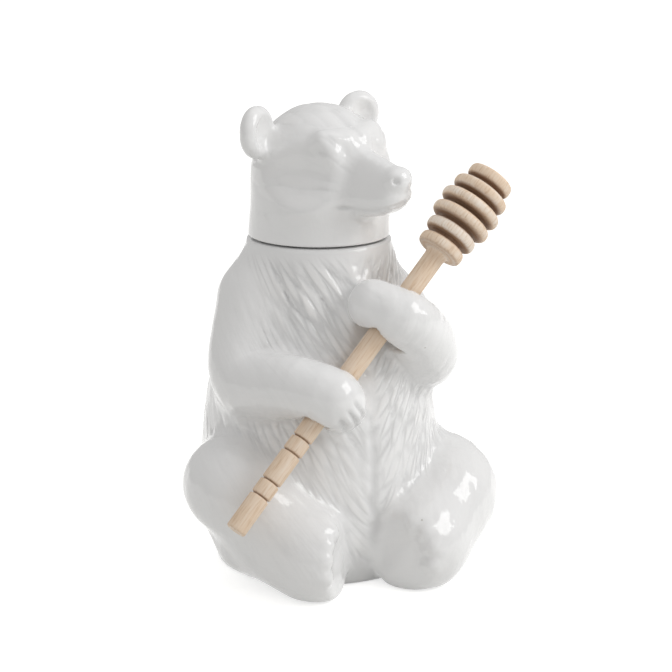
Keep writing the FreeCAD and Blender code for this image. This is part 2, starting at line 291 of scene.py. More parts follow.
def arms(points):
    """Distance to both arms, each with a slot for the stick behind its paw, wider at the left one's mouth."""
    right_way = paw_slot(points, right_grip_place, *right_slot)
    left_way = paw_slot(points, left_grip_place, *left_slot)
    right = soft_cut(limb(points, right_arm_joints), right_way, slot_edge)
    left = soft_cut(limb(points, left_arm_joints), left_way, slot_edge)
    left = soft_cut(left, paw_slot(points, left_mouth_place, *left_mouth), mouth_edge)
    return soft_union(right, left, arms_blend)


def cavity(points):
    """Distance to the space that holds the honey: round, wide at the belly, a straight bore at the neck."""
    radius = smooth_curve(points[:, 2], inside_heights, inside_radii)
    wall = np.hypot(points[:, 0], points[:, 1]) - radius
    return soft_both(wall * inside_slack, floor_thickness - points[:, 2], floor_round)


def ramp(x, start, end):
    """A smooth step from 0 at start to 1 at end."""
    t = np.clip((x - start) / (end - start), 0, 1)
    return t * t * (3 - 2 * t)


def pot_form(points):
    """Distance to the whole pot: torso, legs and arms run together, less the stick's way and the inside."""
    near = soft_union(torso(points), legs(points), leg_blend)
    near = soft_union(near, arms(points), paw_blend + shoulder_extra * ramp(points[:, 1], *shoulder_stretch))
    near = soft_cut(near, from_stick(points) - stick_way_radius, stick_way_edge)
    near = soft_both(near, -points[:, 2], ground_round)
    near = soft_both(near, points[:, 2] - (pot_top - seam_gap / 3), neck_round)
    return soft_cut(near, cavity(points), inside_edge)


def skin_of(form, low, high, pitch):
    """A closed quad skin on the zero level of a distance, as points and quads.

    One point lies in each grid cell that the skin crosses, at the mean of the crossings on the cell's edges,
    and one quad goes round each crossed grid edge. Only blocks of cells near the skin are worked out finely.
    """
    block = 4
    block_reach = 1.3
    low, high = np.array(low, float), np.array(high, float)
    counts = np.ceil((high - low) / pitch / block).astype(int) * block
    places = [low[k] + pitch * np.arange(counts[k]) for k in range(3)]
    middles = [line.reshape(-1, block).mean(1) for line in places]
    blocks = np.stack(np.meshgrid(*middles, indexing="ij"), -1).reshape(-1, 3)
    coarse = form(blocks).reshape(counts // block)
    values = coarse.repeat(block, 0).repeat(block, 1).repeat(block, 2)
    near = np.nonzero(np.abs(values) < block_reach * block * pitch)
    values[near] = form(np.stack([places[k][near[k]] for k in range(3)], 1))
    solid = values < 0
    cells = counts - 1
    corners = np.array(list(np.ndindex(2, 2, 2)))
    filled = sum(
        solid[i:i + cells[0], j:j + cells[1], k:k + cells[2]].astype(np.int8) for i, j, k in corners
    )
    at = np.argwhere((filled > 0) & (filled < 8))
    number = np.full(cells, -1)
    number[tuple(at.T)] = np.arange(len(at))
    at_corners = np.stack([values[tuple((at + corner).T)] for corner in corners], 1)
    steps = corners[None] - corners[:, None]
    a, b = np.nonzero((steps.min(2) >= 0) & (steps.sum(2) == 1))
    crossed = (at_corners[:, a] < 0) != (at_corners[:, b] < 0)
    share = at_corners[:, a] / np.where(crossed, at_corners[:, a] - at_corners[:, b], 1)
    spots = corners[a] + share[..., None] * (corners[b] - corners[a])
    mean = (spots * crossed[..., None]).sum(1) / crossed.sum(1)[:, None]
    points = low + pitch * (at + mean)
    quads = []
    step = np.eye(3, dtype=int)
    for k in range(3):
        i, j = (k + 1) % 3, (k + 2) % 3
        first = solid.take(range(counts[k] - 1), k)
        edge = np.argwhere(first != solid.take(range(1, counts[k]), k))
        around = ((1, 1), (0, 1), (0, 0), (1, 0))
        ring = np.stack([number[tuple((edge - x * step[i] - y * step[j]).T)] for x, y in around], 1)
        leaving = first[tuple(edge.T)]
        quads.append(np.where(leaving[:, None], ring, ring[:, ::-1]))
    return points, np.concatenate(quads)


def slope_of(form, points, reach=0.12):
    """The gradient of a distance at points, from four samples at the corners of a small tetrahedron."""
    corners = np.array([(1, -1, -1), (-1, -1, 1), (-1, 1, -1), (1, 1, 1)], float)
    return sum(form(points + reach * c)[:, None] * c for c in corners) / (4 * reach)


def settled(form, points, quads, rounds=3, longest=0.8):
    """Points moved half way to their neighbours' mean, then drawn back to the zero level by Newton steps.

    The last round only draws back. The unit slopes at the points come with them.
    """
    starts = quads.ravel()
    ends = np.roll(quads, -1, 1).ravel()
    total = np.bincount(starts, minlength=len(points))[:, None]
    for turn in range(rounds):
        sums = np.stack([np.bincount(starts, points[ends, k], len(points)) for k in range(3)], 1)
        if turn < rounds - 1:
            points = points + 0.5 * (sums / total - points)
        slope = slope_of(form, points)
        size = np.maximum((slope**2).sum(1), 0.1)
        points = points - np.clip(form(points) / size, -longest, longest)[:, None] * slope
    slope = slope_of(form, points)
    return points, slope / np.linalg.norm(slope, axis=1)[:, None]


def strokes(across, along, wide, long, seed):
    """Height from 0 to 1 of overlapping leaf-shaped hair strokes.

    Strokes stand in columns across the hair, each column shifted along it by chance. A stroke is a half
    ellipse across, a little wider at one end, and runs out to points. The highest one at a point counts.
    """
    columns, rows = 61, 53
    draws = np.random.default_rng(seed).random((columns, rows, 5))
    column = np.floor(across / wide).astype(int)
    height = np.zeros(len(across))
    for side in (-1, 0, 1):
        own = (column + side) % columns
        shifted = along / long + draws[own, 0, 4]
        row = np.floor(shifted).astype(int)
        for step in (-1, 0, 1):
            draw = draws[own, (row + step) % rows]
            t = (shifted - row - step - 0.5 - 0.3 * (draw[:, 0] - 0.5)) / (0.55 + 0.3 * draw[:, 1])
            middle = (column + side + 0.5 + 0.7 * (draw[:, 2] - 0.5)) * wide
            middle = middle + 0.35 * wide * (draw[:, 3] - 0.5) * t
            half = wide * (0.62 + 0.3 * draw[:, 3]) * np.sqrt(np.clip(1 - t * t, 0, 1)) * (1 + 0.3 * t) + 1e-6
            s = (across - middle) / half
            bump = np.sqrt(np.clip(1 - s * s, 0, 1)) * np.clip(1 - t * t, 0, 1) ** 0.6
            height = np.maximum(height, bump * (0.55 + 0.45 * draw[:, 0]))
    return height


def mesh_piece(name, points, faces, material):
    """A smooth-shaded mesh object of quads, its place in its points, turned from millimetres to metres."""
    mesh = bpy.data.meshes.new(name)
    mesh.vertices.add(len(points))
    mesh.vertices.foreach_set("co", (points * mm).astype(np.float32).ravel())
    mesh.loops.add(faces.size)
    mesh.loops.foreach_set("vertex_index", faces.astype(np.int32).ravel())
    mesh.polygons.add(len(faces))
    mesh.polygons.foreach_set("loop_start", np.arange(0, faces.size, faces.shape[1], dtype=np.int32))
    mesh.update(calc_edges=True)
    mesh.validate()
    mesh.polygons.foreach_set("use_smooth", np.ones(len(mesh.polygons), bool))
    mesh.materials.append(material)
    piece = bpy.data.objects.new(name, mesh)
    bpy.context.scene.collection.objects.link(piece)
    return piece


def set_values(piece, name, values):
    """Puts one number for each point of a piece into an attribute that its material reads."""
    attribute = piece.data.attributes.new(name, "FLOAT", "POINT")
    attribute.data.foreach_set("value", values.astype(np.float32))


def linear(code):
    """A linear colour from an sRGB hex code."""
    parts = np.array([int(code[i:i + 2], 16) for i in (1, 3, 5)]) / 255
    parts = np.where(parts <= 0.04045, parts / 12.92, ((parts + 0.055) / 1.055) ** 2.4)
    return (*map(float, parts), 1.0)


def add(tree, kind, settings, links=None):
    """Adds one shader node, sets its sockets or properties by name, and links outputs into its sockets."""
    node = tree.nodes.new(kind)
    for name, value in settings.items():
        if isinstance(name, int) or name in node.inputs:
            node.inputs[name].default_value = value
        else:
            setattr(node, name, value)
    for name, source in (links or {}).items():
        tree.links.new(source, node.inputs[name])
    return node


# White gloss glaze on stoneware. In the hollows of the tooled hair it is painted a little darker grey, partly
# pooled glaze and partly painted shade, and on the crests, where it is thin, a little lighter and warmer,
# partly painted light. A few pinholes show the brown clay.
glaze_white = "#F0F0F0"
pooled_glaze_and_painted_shade = "#E0E0E0"
thin_glaze_and_painted_light = "#F3F2F1"
glaze_roughness = 0.07
glaze_ior = 1.52
ripple_spacing = 3.2
ripple_depth = 0.16
pinhole_brown = "#A79E92"
pinhole_spacing = 21.0
pinhole_size = 0.022
comb_depth = 0.15
comb_edge = 0.3

glaze = bpy.data.materials.new("white_tin_glaze")
glaze.use_nodes = True
tree = glaze.node_tree
shader = tree.nodes["Principled BSDF"]
place = add(tree, "ShaderNodeTexCoord", {})
# The depth attribute darkens the hollows of the hair to grey and lightens its crests: painted shade and
# painted light, partly pooled and thin glaze
depth = add(tree, "ShaderNodeAttribute", {"attribute_name": "glaze_depth_and_painted_shade"})
shades = add(tree, "ShaderNodeValToRGB", {}, {"Fac": depth.outputs["Fac"]})
shades.color_ramp.elements[0].color = linear(pooled_glaze_and_painted_shade)
shades.color_ramp.elements[1].color = linear(thin_glaze_and_painted_light)
shades.color_ramp.elements.new(0.5).color = linear(glaze_white)
specks = add(tree, "ShaderNodeTexVoronoi", {"Scale": 1 / (pinhole_spacing * mm)},
             {"Vector": place.outputs["Object"]})
speck = add(tree, "ShaderNodeMapRange",
            {"From Min": pinhole_size, "From Max": 0.6 * pinhole_size, "To Max": 0.5},
            {"Value": specks.outputs["Distance"]})
hair_place = add(tree, "ShaderNodeAttribute", {"attribute_name": "hair_place"})
hair_parts = add(tree, "ShaderNodeSeparateXYZ", {}, {"Vector": hair_place.outputs["Vector"]})
cells = add(tree, "ShaderNodeTexVoronoi",
            {"voronoi_dimensions": "2D", "feature": "DISTANCE_TO_EDGE", "Scale": 1.0},
            {"Vector": hair_place.outputs["Vector"]})
crest = add(tree, "ShaderNodeMapRange",
            {"interpolation_type": "SMOOTHSTEP", "From Min": 0.0, "From Max": comb_edge},
            {"Value": cells.outputs["Distance"]})
# Between the combed strokes, which are only a bump, the colour is drawn to the darker grey: painted shade,
# partly pooled glaze
valley = add(tree, "ShaderNodeMath", {"operation": "SUBTRACT", 0: 1.0}, {1: crest.outputs[0]})
pooled_and_painted_shade = add(tree, "ShaderNodeMath", {"operation": "MULTIPLY"},
             {0: valley.outputs[0], 1: hair_parts.outputs["Z"]})
tinted = add(tree, "ShaderNodeMix", {"data_type": "RGBA", 7: linear(pooled_glaze_and_painted_shade)},
             {0: pooled_and_painted_shade.outputs[0], 6: shades.outputs["Color"]})
body = add(tree, "ShaderNodeMix", {"data_type": "RGBA", 7: linear(pinhole_brown)},
           {0: speck.outputs[0], 6: tinted.outputs[2]})
tree.links.new(body.outputs[2], shader.inputs["Base Color"])
ripple = add(tree, "ShaderNodeTexNoise",
             {"Scale": 1 / (ripple_spacing * mm), "Detail": 2.0, "Roughness": 0.4},
             {"Vector": place.outputs["Object"]})
comb_height = add(tree, "ShaderNodeMath", {"operation": "MULTIPLY"},
                  {0: crest.outputs[0], 1: hair_parts.outputs["Z"]})
combed = add(tree, "ShaderNodeBump", {"Strength": 1.0, "Distance": comb_depth * mm},
             {"Height": comb_height.outputs[0]})
bump = add(tree, "ShaderNodeBump", {"Strength": 1.0, "Distance": ripple_depth * mm},
           {"Height": ripple.outputs["Fac"], "Normal": combed.outputs["Normal"]})
tree.links.new(bump.outputs["Normal"], shader.inputs["Normal"])
shader.inputs["Roughness"].default_value = glaze_roughness
shader.inputs["IOR"].default_value = glaze_ior

# The tooled hair: where its middle line is, how far its strokes lean for each mm of height, and their sizes
hair_middle = math.radians(6.0)
hair_lean = 0.55
hair_depth = 1.15
lock_width = 6.4
lock_length = 21.0
stroke_width = 3.0
stroke_length = 13.0
patch_width = 13.0
patch_length = 30.0
comb_width = 2.9
comb_length = 11.0
parting_depth = 0.7
parting_width = 1.8
finger_depth = 0.9
finger_width = 0.75
finger_pitch = 3.7
finger_start = -8.6
# How far the glaze colour darkens per mm of hollow and lightens per mm of crest: painted shade and light,
# partly pooled glaze
pool_and_shade_per_mm = 0.9


def tooled_hair(points):
    """Height of the tooled hair, and its places: strokes run down and in to the middle line of the front.

    On the body the strokes are columns in the arc from the middle line, leaned by the height. On arms and
    legs they are fainter, and short grooves part the fingers at the end of the right paw. The places are
    across and along the hair, in widths and lengths of the finest strokes, with how strongly it is tooled.
    """
    x, y, z = points.T
    bearing = np.arctan2(x, -y) - hair_middle
    bearing = (bearing + np.pi) % (2 * np.pi) - np.pi
    arc = np.abs(bearing) * np.hypot(x, y)
    side = np.sign(bearing)
    across = (np.sqrt(arc**2 + 9) - 3) - hair_lean * z
    locks = strokes(across + 500 + 150 * side, z, lock_width, lock_length, 37)
    hair = strokes(across + 400 + 150 * side, z, stroke_width, stroke_length, 11)
    body_hair = 0.4 * locks + 0.7 * hair - 0.6
    waved = across + 1.3 * np.sin(z / 8 + 0.6 * np.sin(arc / 11))
    places = np.stack([waved / comb_width, (z + 0.5 * side * arc) / comb_length], 1)
    patches = ramp(strokes(across + 600 + 150 * side, z, patch_width, patch_length, 71), 0.3, 0.8)
    on_arm = ramp(torso(points) - arms(points), -1.5, 3.0)
    on_leg = ramp(torso(points) - legs(points), -1.0, 5.0)
    front = ramp(np.cos(bearing), -0.1, 0.75)
    chest = front * ramp(z, 78, 96)
    cover = (0.7 + 0.3 * front + 0.4 * chest) * (1 - 0.8 * on_arm) * (1 - 0.76 * on_leg)
    from_spine = (np.pi - np.abs(bearing)) * np.hypot(x, y)
    cover = cover * ramp(pot_top - z, 1.5, 9.0) * ramp(z, 4.0, 16.0) * ramp(from_spine, 0.3, 2.8)
    parting = np.exp(-((arc / parting_width) ** 2)) * ramp(z, 10, 22) * ramp(z, 66, 48)
    parting = parting * (1 - on_arm) * (1 - on_leg)
    across, out, along = at_grip(points, right_grip_place)
    between = np.mod(along - finger_start, finger_pitch) - finger_pitch / 2
    from_middle = np.abs(along - finger_start - 1.5 * finger_pitch)
    fingers = np.exp(-((between / finger_width) ** 2)) * ramp(-across, 2.5, 6.5) * ramp(out, -3.0, 2.0)
    fingers = fingers * ramp(from_middle, 1.9 * finger_pitch, 1.4 * finger_pitch)
    height = hair_depth * body_hair * cover - parting_depth * parting - finger_depth * fingers * on_arm
    combed = cover * (0.25 + 0.75 * patches) * ramp(arc, 0.5, 4.0) * (1 - 0.5 * on_arm) * (1 - 0.6 * on_leg)
    return height, np.column_stack([places, combed])


points, quads = skin_of(pot_form, pot_grid_low, pot_grid_high, pot_pitch)
points, normals = settled(pot_form, points, quads)
outside = cavity(points) > 1.5
raised, hair = tooled_hair(points)
raised = raised * outside
hair[:, 2] *= outside
points = points + raised[:, None] * normals
pot = mesh_piece("glazed_pot", points, quads, glaze)
hair_attribute = pot.data.attributes.new("hair_place", "FLOAT_VECTOR", "POINT")
hair_attribute.data.foreach_set("vector", hair.astype(np.float32).ravel())
# Hollows of the relief painted darker and crests lighter: painted shade and light, partly pooled and thin
# glaze
set_values(pot, "glaze_depth_and_painted_shade", np.clip(0.5 + pool_and_shade_per_mm * raised, 0, 1))
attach(pot, "pot")
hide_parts("torso_pot", "right_leg", "left_leg", "right_arm", "left_arm")

# The lid: the bear's head, hollow, of the same glazed stoneware. A plain ring below it drops into the neck
# and keeps it in place. The head is turned and tipped a little to the bear's left, with dished ears and
# blank eyes.
lid_pitch = 0.62
lid_grid_low = (-40, -58, 106)
lid_grid_high = (48, 34, 174)
lid_seam = pot_top + 2 * seam_gap / 3
lid_edge = 1.0
head_middle = np.array([0.0, 0.0, pot_top + 20.5])
head_turn = math.radians(21.0)
head_roll = math.radians(4.0)
head_level = np.array([math.cos(head_turn), math.sin(head_turn), 0.0])
head_ahead = np.array([math.sin(head_turn), -math.cos(head_turn), 0.0])
head_left = math.cos(head_roll) * head_level + np.array([0, 0, math.sin(head_roll)])
head_up = np.array([0, 0, math.cos(head_roll)]) - math.sin(head_roll) * head_level
head_axes = np.stack([head_left, head_ahead, head_up], 1)

neck_heights = np.array([100, 119.5, 130, 145, 160])
neck_radii = np.array([26.2, 25.4, 24.5, 22.4, 20.5])
neck_end = 148
head_blend = 6.0
flange_radius = 19.6
flange_foot = pot_top - 9.0
flange_root = 126
flange_edge = 0.8
hollow_heights = np.array([100, 119.5, 124, 130, 142, 150, 155, 158, 160.2])
hollow_radii = np.array([16.3, 16.3, 16.6, 16.6, 15.4, 14.2, 12.4, 10.2, 6.0])
hollow_top = 160.2
hollow_round = 4.0

# The head's forms in its own axes, left, ahead and up from its middle: centres with half sizes or radii,
# given for the left side where a form comes in a pair
skull = ((0.3, 0.4, 3.8), (22.8, 23.6, 23.2))
forehead = ((2.2, 8.8, 4.6), (14.4, 11.6, 14.0), 4.6)
forehead_blend = 5.0
cheek = ((12.0, 9.5, -2.5), (11.0, 11.5, 13.0))
right_temple = 20.0
left_temple = 23.5
temple_edge = 1.8
temple_way = (0.894, 0.447)
temple_foot = 10
temple_flare = 0.03
brow = ((11.0, 15.6, 17.4), (3.8, 19.0, 16.0), 3.4, 2.8)
brow_blend = 3.0
eye = ((10.0, 17.9, 12.6), (4.2, 4.4, 4.6))
eye_blend = 1.8
nose = ((0, 41.2, 5.0), (5.4, 4.3, 4.3))
nose_blend = 1.6
nostril = ((3.7, 44.5, 5.4), (1.2, 2.0, 1.3))
nostril_edge = 0.8

muzzle_places = np.array([6, 15, 25, 35, 43, 50])
muzzle_tops = np.array([17.5, 16.4, 13.4, 10.6, 8.6, 7.2])
muzzle_bottoms = np.array([-13.0, -12.0, -10.0, -8.2, -5.0, -3.0])
muzzle_half_widths = np.array([9.6, 9.0, 8.6, 7.6, 6.4, 5.8])
muzzle_squareness = 2.8
muzzle_slack = 0.9
muzzle_back = 2.0
muzzle_end = 44.0
muzzle_end_round = 7.0
muzzle_blend = 3.5
bridge_share = 0.38

# Each ear's middle and radius, and how far it is turned in; 1 is the bear's left and -1 its right
ears = {
    1: ((23.0, -2.8, 19.2), 8.2, math.radians(13)),
    -1: ((-24.4, -3.6, 20.6), 9.3, math.radians(20)),
}
ear_half_thickness = 4.5
ear_blend = 3.6
dish_ahead = 5.2
dish_depth = 4.1
dish_edge = 1.4


def rounded_block(points, centre, half_sizes, radius):
    """Distance to a block with rounded edges: how far past a smaller block a point is, less the radius."""
    past = np.abs(points - centre) - (np.asarray(half_sizes) - radius)
    return np.sqrt((np.maximum(past, 0) ** 2).sum(1)) + np.minimum(past.max(1), 0) - radius


def ear(face, hand):
    """Distance to an ear: a thick round lens turned in towards the other ear, its front scooped to a dish."""
    centre, radius, turned_in = ears[hand]
    facing = np.array([-hand * math.sin(turned_in), math.cos(turned_in), 0.0])
    turn = square_axes(facing, np.array([0.0, 0.0, 1.0]))
    lens = egg(face, centre, (radius, radius, ear_half_thickness), turn)
    dish = egg(face, centre + dish_ahead * facing, (radius - 2.3, radius - 2.1, dish_depth), turn)
    return soft_cut(lens, dish, dish_edge)


def muzzle(face):
    """Distance to the muzzle: rounded-square sections along the face's forward axis, rounded at the front.

    Each section is |x|^n + |y|^n = 1 in its half width and half height, and narrows from foot to bridge.
    """
    left, ahead, up = face.T
    top = smooth_curve(ahead, muzzle_places, muzzle_tops)
    bottom = smooth_curve(ahead, muzzle_places, muzzle_bottoms)
    wide = smooth_curve(ahead, muzzle_places, muzzle_half_widths)
    tall = (top - bottom) / 2
    level = (up - (top + bottom) / 2) / tall
    wide = wide * (1 - bridge_share * np.clip(level, -0.3, 1.2))
    n = muzzle_squareness
    squared = (np.abs(left / wide) ** n + np.abs(level) ** n) ** (1 / n)
    sides = (squared - 1) * np.minimum(wide, tall) * muzzle_slack
    return np.maximum(soft_both(sides, ahead - muzzle_end, muzzle_end_round), muzzle_back - ahead)


def head_form(points):
    """Distance to the solid head: neck, skull, forehead and cheeks, cut flat at the temples, then features.

    The features are the ears, the muzzle, the brows, the eyes, the nose and the nostrils. The cheeks, and
    all features but the ears, are alike on both sides.
    """
    height = points[:, 2]
    round_neck = np.hypot(points[:, 0], points[:, 1]) - smooth_curve(height, neck_heights, neck_radii)
    near = soft_both(round_neck, height - neck_end, head_blend)
    face = (points - head_middle) @ head_axes
    left, ahead, up = face.T
    both = np.stack([np.abs(left), ahead, up], 1)
    near = soft_union(near, egg(face, *skull), head_blend)
    near = soft_union(near, rounded_block(face, *forehead), forehead_blend)
    near = soft_union(near, egg(both, *cheek), head_blend)
    flare = temple_flare * np.maximum(temple_foot - up, 0) ** 2
    temple = np.where(left < 0, right_temple, left_temple) + flare
    near = soft_both(near, temple_way[0] * np.abs(left) + temple_way[1] * ahead - temple, temple_edge)
    near = soft_union(near, np.minimum(ear(face, 1), ear(face, -1)), ear_blend)
    near = soft_union(near, muzzle(both), muzzle_blend)
    near = soft_union(near, tapered(both, *brow), brow_blend)
    near = soft_union(near, egg(both, *eye), eye_blend)
    near = soft_union(near, egg(both, *nose), nose_blend)
    near = soft_cut(near, egg(both, *nostril), nostril_edge)
    return soft_both(near, lid_seam - height, lid_edge)


def lid_form(points):
    """Distance to the lid: the head hollowed out, with the ring that drops into the neck."""
    height = points[:, 2]
    out = np.hypot(points[:, 0], points[:, 1])
    ring = soft_both(out - flange_radius, np.maximum(flange_foot - height, height - flange_root), flange_edge)
    near = soft_union(head_form(points), ring, 0.6)
    inside = out - smooth_curve(height, hollow_heights, hollow_radii)
    return soft_cut(near, soft_both(inside, height - hollow_top, hollow_round), flange_edge)


mouth_places = np.array([18, 22.5, 27, 36, 41, 46])
mouth_heights = np.array([-4.4, -5.0, -5.8, -5.2, -4.0, -1.4])
mouth_depth = 0.6
mouth_width = 0.6
furrow_depth = 0.4
furrow_width = 1.6
face_hair_depth = 0.45
face_hair_width = 3.4
face_hair_length = 15.0


def face_lines(points):
    """Fine tooling of the face: the line of the mouth, the furrow up the forehead, and faint hair."""
    left, ahead, up = ((points - head_middle) @ head_axes).T
    gap = up - smooth_curve(ahead, mouth_places, mouth_heights)
    mouth = np.exp(-((gap / mouth_width) ** 2)) * ramp(ahead, 22.0, 24.0)
    mouth = mouth * (0.35 + 0.65 * ramp(ahead, 27.0, 24.5))
    on_forehead = ramp(ahead, 4.0, 9.0) * ramp(ahead, 20.5, 17.0) * ramp(up, 12.0, 16.0)
    furrow = np.exp(-((left / furrow_width) ** 2)) * on_forehead
    around = np.arctan2(left, up) * 20 + 200
    faint = strokes(around, ahead, face_hair_width, face_hair_length, 53) - 0.6
    faint = faint * ramp(ahead, -18, -6) * ramp(ahead, 30, 18) * ramp(points[:, 2], 124, 138)
    return -mouth_depth * mouth - furrow_depth * furrow + face_hair_depth * faint


points, quads = skin_of(lid_form, lid_grid_low, lid_grid_high, lid_pitch)
points, normals = settled(lid_form, points, quads)
from_axis = np.hypot(points[:, 0], points[:, 1])
outside = (from_axis > hollow_radii.max() + 1.5) | (points[:, 2] > hollow_top + 0.8)
raised = face_lines(points) * outside
points = points + raised[:, None] * normals
lid = mesh_piece("glazed_lid", points, quads, glaze)
# Hollows of the face lines painted darker and raised hair lighter: painted shade and light, partly pooled and
# thin glaze
set_values(lid, "glaze_depth_and_painted_shade", np.clip(0.5 + pool_and_shade_per_mm * raised, 0, 1))
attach(lid, "lid")
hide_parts("head_shell", "right_ear", "left_ear")

# The dipper: one length of beech turned on a lathe, with six rings at its head to hold the honey, and four
# fine V grooves round the handle end. It is sanded, left without varnish, and lies loose behind the paws.
dipper_length = stick_local[:, 2].max() - stick_local[:, 2].min()
stick_radius = 3.7
end_flat = 1.6
end_round = 0.9
groove_places = [14.6, 20.7, 33.0, 39.0]
groove_depth = 0.85
groove_half_width = 0.55
ring_radii = [8.5, 9.5, 11.1, 11.4, 10.4, 8.4]
ring_pitch = 6.0
ring_thickness = 4.4
ring_fullness = 0.36
ring_side = 0.85
core_radius = 5.4
head_dome = 1.4
cove = 2.6
cove_rise = 1.0
columns = 96
first_ring = dipper_length - head_dome - ring_thickness - (len(ring_radii) - 1) * ring_pitch


def quarter(start, end, count, out_first):
    """A quarter round from one (radius, place) to another, leaving along the radius or the axis first."""
    a = np.linspace(0, math.pi / 2, count)
    first, second = np.sin(a), 1 - np.cos(a)
    radius, place = (first, second) if out_first else (second, first)
    return np.stack([start[0] + (end[0] - start[0]) * radius, start[1] + (end[1] - start[1]) * place], 1)


def groove(place):
    """One V groove as (radius, place) rows: three steps down each side to a narrow floor, the rims eased."""
    drops = np.array([0.0, 0.04, 0.16, groove_depth])
    outs = np.array([groove_half_width + 0.35, groove_half_width + 0.08, groove_half_width - 0.06, 0.12])
    down = np.stack([stick_radius - drops, place - outs], 1)
    rise = np.stack([stick_radius - drops, place + outs], 1)
    return np.concatenate([down, rise[::-1]])


def turned_edge():
    """The half section of the dipper as (radius, place) rows, from the flat low end to the flat of the head.

    A ring's rim is cos(a)^p out and sin(a)^q along, for a from -90 to 90 degrees: a squared-off half round.
    """
    rows = [np.array([[end_flat, 0.0]])]
    rows.append(quarter((stick_radius - end_round, 0.0), (stick_radius, end_round), 6, True))
    rows.extend(groove(place) for place in groove_places)
    shaft = np.linspace(groove_places[-1] + 4, first_ring - cove - 1, 12)
    rows.append(np.stack([np.full(12, stick_radius), shaft], 1))
    rows.append(quarter((stick_radius, first_ring - cove), (stick_radius + cove_rise, first_ring), 6, False))
    turn = np.linspace(-math.pi / 2, math.pi / 2, 17)
    for number, radius in enumerate(ring_radii):
        low = first_ring + number * ring_pitch
        crest = core_radius + (radius - core_radius) * np.abs(np.cos(turn)) ** ring_fullness
        place = low + ring_thickness / 2 * (1 + np.sign(turn) * np.abs(np.sin(turn)) ** ring_side)
        rows.append(np.stack([crest, place], 1))
    dome = np.linspace(1, 0, 8)[1:-1]
    rows.append(np.stack([core_radius * dome, dipper_length - head_dome * dome**2 * 0.6], 1))
    return np.concatenate(rows)


# The section is carried round the axis, and a ladder of quads closes the small flat at each end
edge = turned_edge()
turn = np.linspace(0, 2 * math.pi, columns, endpoint=False)
ring = np.stack([np.cos(turn), np.sin(turn)], 1)
local = np.concatenate([np.column_stack([radius * ring, np.full(columns, place)]) for radius, place in edge])
row = np.arange(len(edge) - 1)[:, None] * columns
column = np.arange(columns)[None]
after = (column + 1) % columns
sides = np.stack([row + column, row + after, row + columns + after, row + columns + column], -1)
near_edge = np.arange(columns // 2 - 1)
flat = np.stack([near_edge, near_edge + 1, columns - 2 - near_edge, columns - 1 - near_edge], 1)
faces = np.concatenate([sides.reshape(-1, 4), flat[:, ::-1], (len(edge) - 1) * columns + flat])

# Bare beech: pale and warm, with short dark flecks along the grain and faint year rings round the axis.
# Between the rings of the head and in the grooves it is painted a darker brown: painted shade.
beech_pale = "#F8EDE1"
beech_warm = "#F3E4D4"
beech_fleck = "#E1CDB7"
beech_year = "#F4E9DC"
# Dark brown painted between the rings and in the grooves as shade
beech_painted_shade = "#8F6C4C"
beech_roughness = 0.62
beech_specular = 0.35
year_ring = 2.3
fleck_width = 0.35
fleck_length = 4.0
grain_depth = 0.1

beech = bpy.data.materials.new("turned_beech")
beech.use_nodes = True
tree = beech.node_tree
shader = tree.nodes["Principled BSDF"]
place = add(tree, "ShaderNodeTexCoord", {})
stick_turn = mathutils.Matrix(stick_axes.tolist()).to_euler()
along = add(tree, "ShaderNodeMapping",
            {"vector_type": "TEXTURE", "Location": tuple(stick_low_end * mm), "Rotation": tuple(stick_turn)},
            {"Vector": place.outputs["Object"]})
stretched = add(tree, "ShaderNodeMapping", {"Scale": (1.0, 1.0, fleck_width / fleck_length)},
                {"Vector": along.outputs["Vector"]})
flecks = add(tree, "ShaderNodeTexNoise", {"Scale": 0.5 / (fleck_width * mm), "Detail": 3.0, "Roughness": 0.6},
             {"Vector": stretched.outputs["Vector"]})
years = add(tree, "ShaderNodeTexWave",
            {"wave_type": "RINGS", "rings_direction": "Z", "Scale": 0.31 / (year_ring * mm),
             "Distortion": 3.0, "Detail": 2.0, "Detail Scale": 1.2},
            {"Vector": stretched.outputs["Vector"]})
tone = add(tree, "ShaderNodeValToRGB", {}, {"Fac": flecks.outputs["Fac"]})
tone.color_ramp.elements[0].position = 0.30
tone.color_ramp.elements[0].color = linear(beech_fleck)
tone.color_ramp.elements[1].position = 0.62
tone.color_ramp.elements[1].color = linear(beech_pale)
tone.color_ramp.elements.new(0.45).color = linear(beech_warm)
aged = add(tree, "ShaderNodeMix", {"data_type": "RGBA", "blend_type": "MULTIPLY", 7: linear(beech_year)},
           {0: years.outputs["Fac"], 6: tone.outputs["Color"]})
# This attribute darkens the wood toward brown between the rings and in the grooves: painted shade
painted_recess_shade = add(tree, "ShaderNodeAttribute", {"attribute_name": "painted_recess_shade"})
painted_shade_beech = add(tree, "ShaderNodeMix",
              {"data_type": "RGBA", "blend_type": "MULTIPLY", 7: linear(beech_painted_shade)},
              {0: painted_recess_shade.outputs["Fac"], 6: aged.outputs[2]})
tree.links.new(painted_shade_beech.outputs[2], shader.inputs["Base Color"])
grain = add(tree, "ShaderNodeBump", {"Strength": 0.3, "Distance": grain_depth * mm},
            {"Height": flecks.outputs["Fac"]})
tree.links.new(grain.outputs["Normal"], shader.inputs["Normal"])
shader.inputs["Roughness"].default_value = beech_roughness
shader.inputs["Specular IOR Level"].default_value = beech_specular

